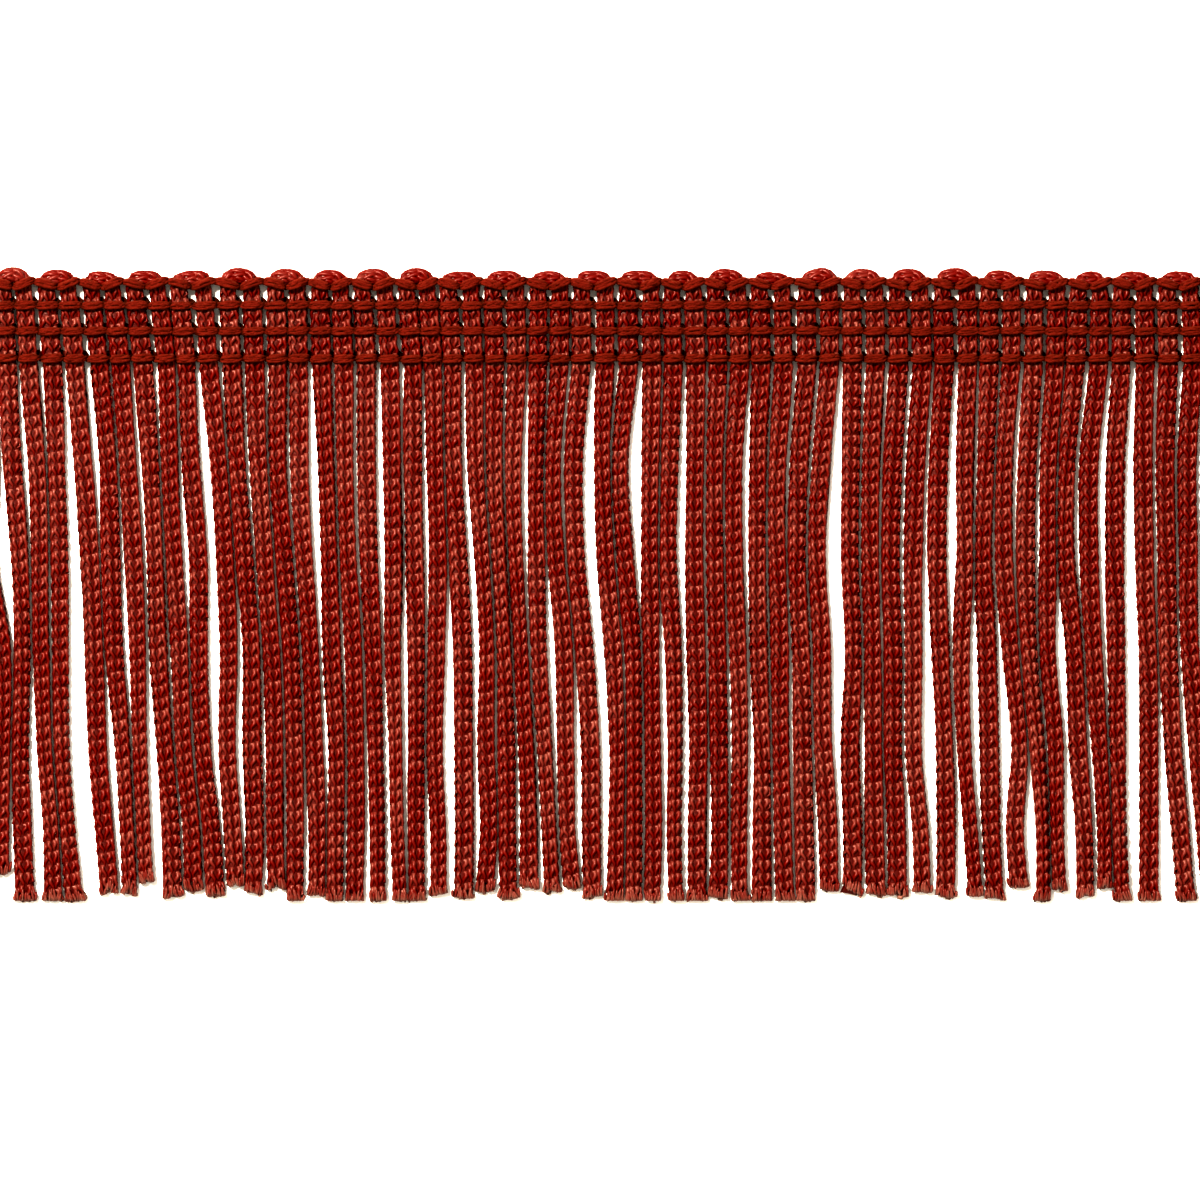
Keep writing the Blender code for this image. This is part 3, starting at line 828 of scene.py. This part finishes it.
def fray(line, leg, ending, rng):
    """The rings of all loose yarn ends on the face of a leg's cut end."""
    places = np.linspace(-FRAY_ACROSS, FRAY_ACROSS, FRAYS)
    return join([loose_yarn(line, leg, ending, place, rng) for place in places])


def make_hairpin(hairpin, material):
    """One hairpin of knitted cord."""
    rng = np.random.default_rng(CORD_SEED + hairpin)
    line = hairpin_line(hairpin)
    rings = knit(line, rng)
    low = OVERRUN + cut_back(2 * hairpin, rings["across"])
    high = line["along"][-1] - OVERRUN - cut_back(2 * hairpin + 1, -rings["across"])
    end = np.minimum(rings["at"] - low, high - rings["at"])
    rings["tint"] = rings["tint"] + TIP_TINT * ease(TIP_LENGTH, 0.0, end)
    parts = [cut(rings, low, high), make_core(line)]
    parts += [fray(line, 2 * hairpin + ending, ending, rng) for ending in range(2)]
    piece = make_tubes("hairpin_%02d" % (hairpin + 1), join(parts), material)
    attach(piece, "root")
    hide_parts("fringe", "heading")


# ---------- the stitch rows ----------
def row_wave(row, x):
    """How far the top row rises between the scallops and dips under them."""
    if row > 0:
        return np.zeros_like(x)
    middles = np.array([scallop_middle(hairpin) for hairpin in range(len(SCALLOPS))])
    nearest = middles[np.argmin(np.abs(x[:, None] - middles), axis=1)]
    return -ROW_WAVE * np.cos(math.pi * (x - nearest) / LEG_PITCH)


def row_points(row, rng):
    """The points that the yarn of a row passes, and how much painted shade each gets, from 0 to 1:
    in the gaps between the cords and behind them."""
    y = ROW_YS[row]
    cords = np.array([cord_x(leg, y) for leg in range(len(LEGS))])
    inner = (cords[1:] + cords[:-1]) / 2
    gaps = np.concatenate(([-TRIM_END_X + ROW_START], inner, [TRIM_END_X - ROW_STOP]))
    left, right = gaps[:-1, None], gaps[1:, None]
    way, up, height = np.array(LINK).T
    is_front = height > BACK_HEIGHT
    up = np.where(is_front, up, up * BACK_SWINGS[row])
    count = len(cords)
    wander = rng.uniform(-POINT_WANDER, POINT_WANDER, (count, len(LINK))) * MM
    x = left + way * (right - left) + wander
    rise = up * MM * rng.uniform(*LINK_WIDTHS, (count, 1)) + ROW_SLANT * (way - 0.5)
    rise = rise + rng.uniform(-LINK_WANDER, LINK_WANDER, (count, 1)) * MM
    z = height * MM + rng.uniform(-HEIGHT_WANDER, HEIGHT_WANDER, (count, 1)) * MM * is_front
    at_peak = (row == 0) & ((np.arange(count)[:, None] + (way > 0.5)) % 2 == 0)
    dip = ease(DIP_END, DIP_FULL, np.minimum(way, 1 - way)) * np.where(at_peak, PEAK_DIP, 1.0)
    z = z - LINK_DIPS[row] * MM * dip * is_front
    x, rise = x.ravel(), rise.ravel()
    points = np.stack((x, y + rise + row_wave(row, x), z.ravel()), axis=1)
    # painted shade: darker in the dips, darkest behind the cords
    return points, np.where(is_front, dip, 1.0).ravel()


def make_row(row, material):
    """One row of chain stitch, of two-ply yarn."""
    rng = np.random.default_rng(ROW_SEED + row)
    points, dark = row_points(row, rng)
    number = np.arange(len(points))
    fine = np.linspace(0, len(points) - 1, (len(points) - 1) * LINK_SUBDIVISIONS + 1)
    count = len(fine)
    middle = np.stack([smooth(number, column, fine) for column in points.T], axis=1)
    tangent = np.gradient(middle, axis=0)
    step = np.linalg.norm(np.diff(middle, axis=0), axis=1)
    along = np.concatenate(([0.0], np.cumsum(step)))
    across = np.cross(tangent, YARN_FACING)
    across /= np.linalg.norm(across, axis=1)[:, None]
    over = np.cross(across, tangent)
    over /= np.linalg.norm(over, axis=1)[:, None]

    def vary(amount):
        """A value round 0 that varies from point to point."""
        return amount * np.interp(fine, number, rng.uniform(-1.0, 1.0, len(number)))

    wander = vary(PLY_WANDER)
    ply_half = np.full(count, PLY_HALFS[row] * MM)
    plies = []
    for ply in range(2):
        angle = wander + math.pi * ply
        offset = PLY_OFFSET * (np.cos(angle)[:, None] * across + np.sin(angle)[:, None] * over)
        plies.append({
            "point": middle + offset, "out": over, "first": np.arange(count) == 0,
            "sides": np.full(count, PLY_SIDES), "along": along + PLY_SHIFT * ply,
            "half": ply_half, "thick": ply_half,
            # the painted shade of the dips and of the yarn behind the cords
            "tint": vary(PLY_TINT) - np.interp(fine, number, dark),
        })
    piece = make_tubes("warp_row_%d" % (row + 1), join(plies), material)
    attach(piece, "root")
    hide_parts("chain_row_%d" % (row + 1))


# ---------- materials ----------
def connect(material, source, output, target, socket):
    """Join an output of one shader node to a socket of another."""
    material.node_tree.links.new(source.outputs[output], target.inputs[socket])


def make_yarn(name, deep, plain, pale, grain, bump_height):
    """Twisted filaments: streaks along the yarn, in colour and relief, and the tints of its
    rings, towards the pale colour above 0 and darker below it. The tints hold painted highlights
    and painted shade as well as the yarn's random tone."""
    material = bpy.data.materials.new(name)
    material.use_nodes = True
    nodes = material.node_tree.nodes
    shader = nodes["Principled BSDF"]
    fibre = nodes.new("ShaderNodeAttribute")
    fibre.attribute_name = "fibre"
    tint = nodes.new("ShaderNodeAttribute")
    tint.attribute_name = "tint"
    streaks = nodes.new("ShaderNodeTexNoise")
    streaks.inputs["Scale"].default_value = grain
    streaks.inputs["Detail"].default_value = 3.0
    connect(material, fibre, "Vector", streaks, "Vector")
    shade = nodes.new("ShaderNodeMix")
    shade.data_type = "RGBA"
    shade.inputs[MIX_FROM].default_value = deep
    shade.inputs[MIX_TO].default_value = plain
    spread = nodes.new("ShaderNodeMapRange")
    spread.inputs["From Min"].default_value = STREAK_LOW
    spread.inputs["From Max"].default_value = STREAK_HIGH
    connect(material, streaks, "Fac", spread, "Value")
    connect(material, spread, "Result", shade, MIX_FACTOR)
    paler = nodes.new("ShaderNodeMix")
    paler.data_type = "RGBA"
    paler.inputs[MIX_TO].default_value = pale
    connect(material, tint, "Fac", paler, MIX_FACTOR)
    connect(material, shade, MIX_RESULT, paler, MIX_FROM)
    depth = nodes.new("ShaderNodeMapRange")
    depth.inputs["From Min"].default_value = -1.0
    depth.inputs["From Max"].default_value = 0.0
    depth.inputs["To Min"].default_value = DARKEST
    connect(material, tint, "Fac", depth, "Value")
    darker = nodes.new("ShaderNodeHueSaturation")
    connect(material, depth, "Result", darker, "Value")
    connect(material, paler, MIX_RESULT, darker, "Color")
    connect(material, darker, "Color", shader, "Base Color")
    bump = nodes.new("ShaderNodeBump")
    bump.inputs["Strength"].default_value = 1.0
    bump.inputs["Distance"].default_value = bump_height
    connect(material, streaks, "Fac", bump, "Height")
    connect(material, bump, "Normal", shader, "Normal")
    return material


def make_cord_yarn():
    """Glossy rayon."""
    material = make_yarn(
        "cord_yarn", CORD_DEEP, CORD_COLOR, CORD_PALE, grain=2.5, bump_height=0.03 * MM)
    shader = material.node_tree.nodes["Principled BSDF"]
    shader.inputs["Roughness"].default_value = 0.36
    shader.inputs["Specular IOR Level"].default_value = 0.3
    shader.inputs["Specular Tint"].default_value = (1.0, 0.84, 0.7, 1.0)
    return material


def make_warp_yarn():
    """Matte spun yarn."""
    material = make_yarn(
        "warp_yarn", WARP_DEEP, WARP_COLOR, WARP_COLOR, grain=4.0, bump_height=0.08 * MM)
    shader = material.node_tree.nodes["Principled BSDF"]
    shader.inputs["Roughness"].default_value = 0.75
    shader.inputs["Specular IOR Level"].default_value = 0.2
    shader.inputs["Specular Tint"].default_value = (1.0, 0.5, 0.3, 1.0)
    shader.inputs["Sheen Weight"].default_value = 0.12
    shader.inputs["Sheen Tint"].default_value = (1.0, 0.35, 0.15, 1.0)
    return material


# ---------- floor, light and camera ----------
def make_floor():
    """A plain pale floor."""
    half = FLOOR_HALF
    mesh = bpy.data.meshes.new("floor")
    corners = [(-half, -half, 0.0), (half, -half, 0.0), (half, half, 0.0), (-half, half, 0.0)]
    mesh.from_pydata(corners, [], [(0, 1, 2, 3)])
    material = bpy.data.materials.new("floor")
    material.use_nodes = True
    shader = material.node_tree.nodes["Principled BSDF"]
    shader.inputs["Base Color"].default_value = FLOOR_COLOR
    shader.inputs["Roughness"].default_value = 0.9
    mesh.materials.append(material)
    floor = bpy.data.objects.new("floor", mesh)
    bpy.context.scene.collection.objects.link(floor)


def make_key_light():
    """An area light that points at the middle of the trim."""
    data = bpy.data.lights.new("key", "AREA")
    data.shape = "RECTANGLE"
    data.size = KEY_WIDTH
    data.size_y = KEY_HEIGHT
    data.energy = KEY_POWER
    light = bpy.data.objects.new("key", data)
    light.location = KEY_PLACE
    light.rotation_euler = (-light.location).to_track_quat("-Z", "Y").to_euler()
    bpy.context.scene.collection.objects.link(light)


def make_world():
    """Even white light from all round."""
    world = bpy.data.worlds.new("studio")
    world.use_nodes = True
    background = world.node_tree.nodes["Background"]
    background.inputs["Color"].default_value = (1.0, 1.0, 1.0, 1.0)
    background.inputs["Strength"].default_value = WORLD_STRENGTH
    bpy.context.scene.world = world


def make_camera():
    """A camera that looks straight down and sees VIEW_WIDTH of the trim."""
    data = bpy.data.cameras.new("camera")
    data.sensor_width = SENSOR_WIDTH
    data.lens = SENSOR_WIDTH * CAMERA_HEIGHT / VIEW_WIDTH
    data.clip_end = CAMERA_REACH
    camera = bpy.data.objects.new("camera", data)
    camera.location = (0.0, VIEW_MIDDLE_Y, CAMERA_HEIGHT)
    bpy.context.scene.collection.objects.link(camera)
    bpy.context.scene.camera = camera


def set_contrast():
    """The picture's contrast and its black."""
    view = bpy.context.scene.view_settings
    view.view_transform = "Standard"
    view.gamma = VIEW_GAMMA
    view.use_curve_mapping = True
    view.curve_mapping.black_level = (BLACK_LEVEL, BLACK_LEVEL, BLACK_LEVEL)
    view.curve_mapping.update()


def main():
    """Make every piece, and the stage round them."""
    cord_yarn = make_cord_yarn()
    warp_yarn = make_warp_yarn()
    for hairpin in range(len(SCALLOPS)):
        make_hairpin(hairpin, cord_yarn)
    for row in range(len(ROW_YS)):
        make_row(row, warp_yarn)
    make_floor()
    make_key_light()
    make_world()
    make_camera()
    set_contrast()


main()
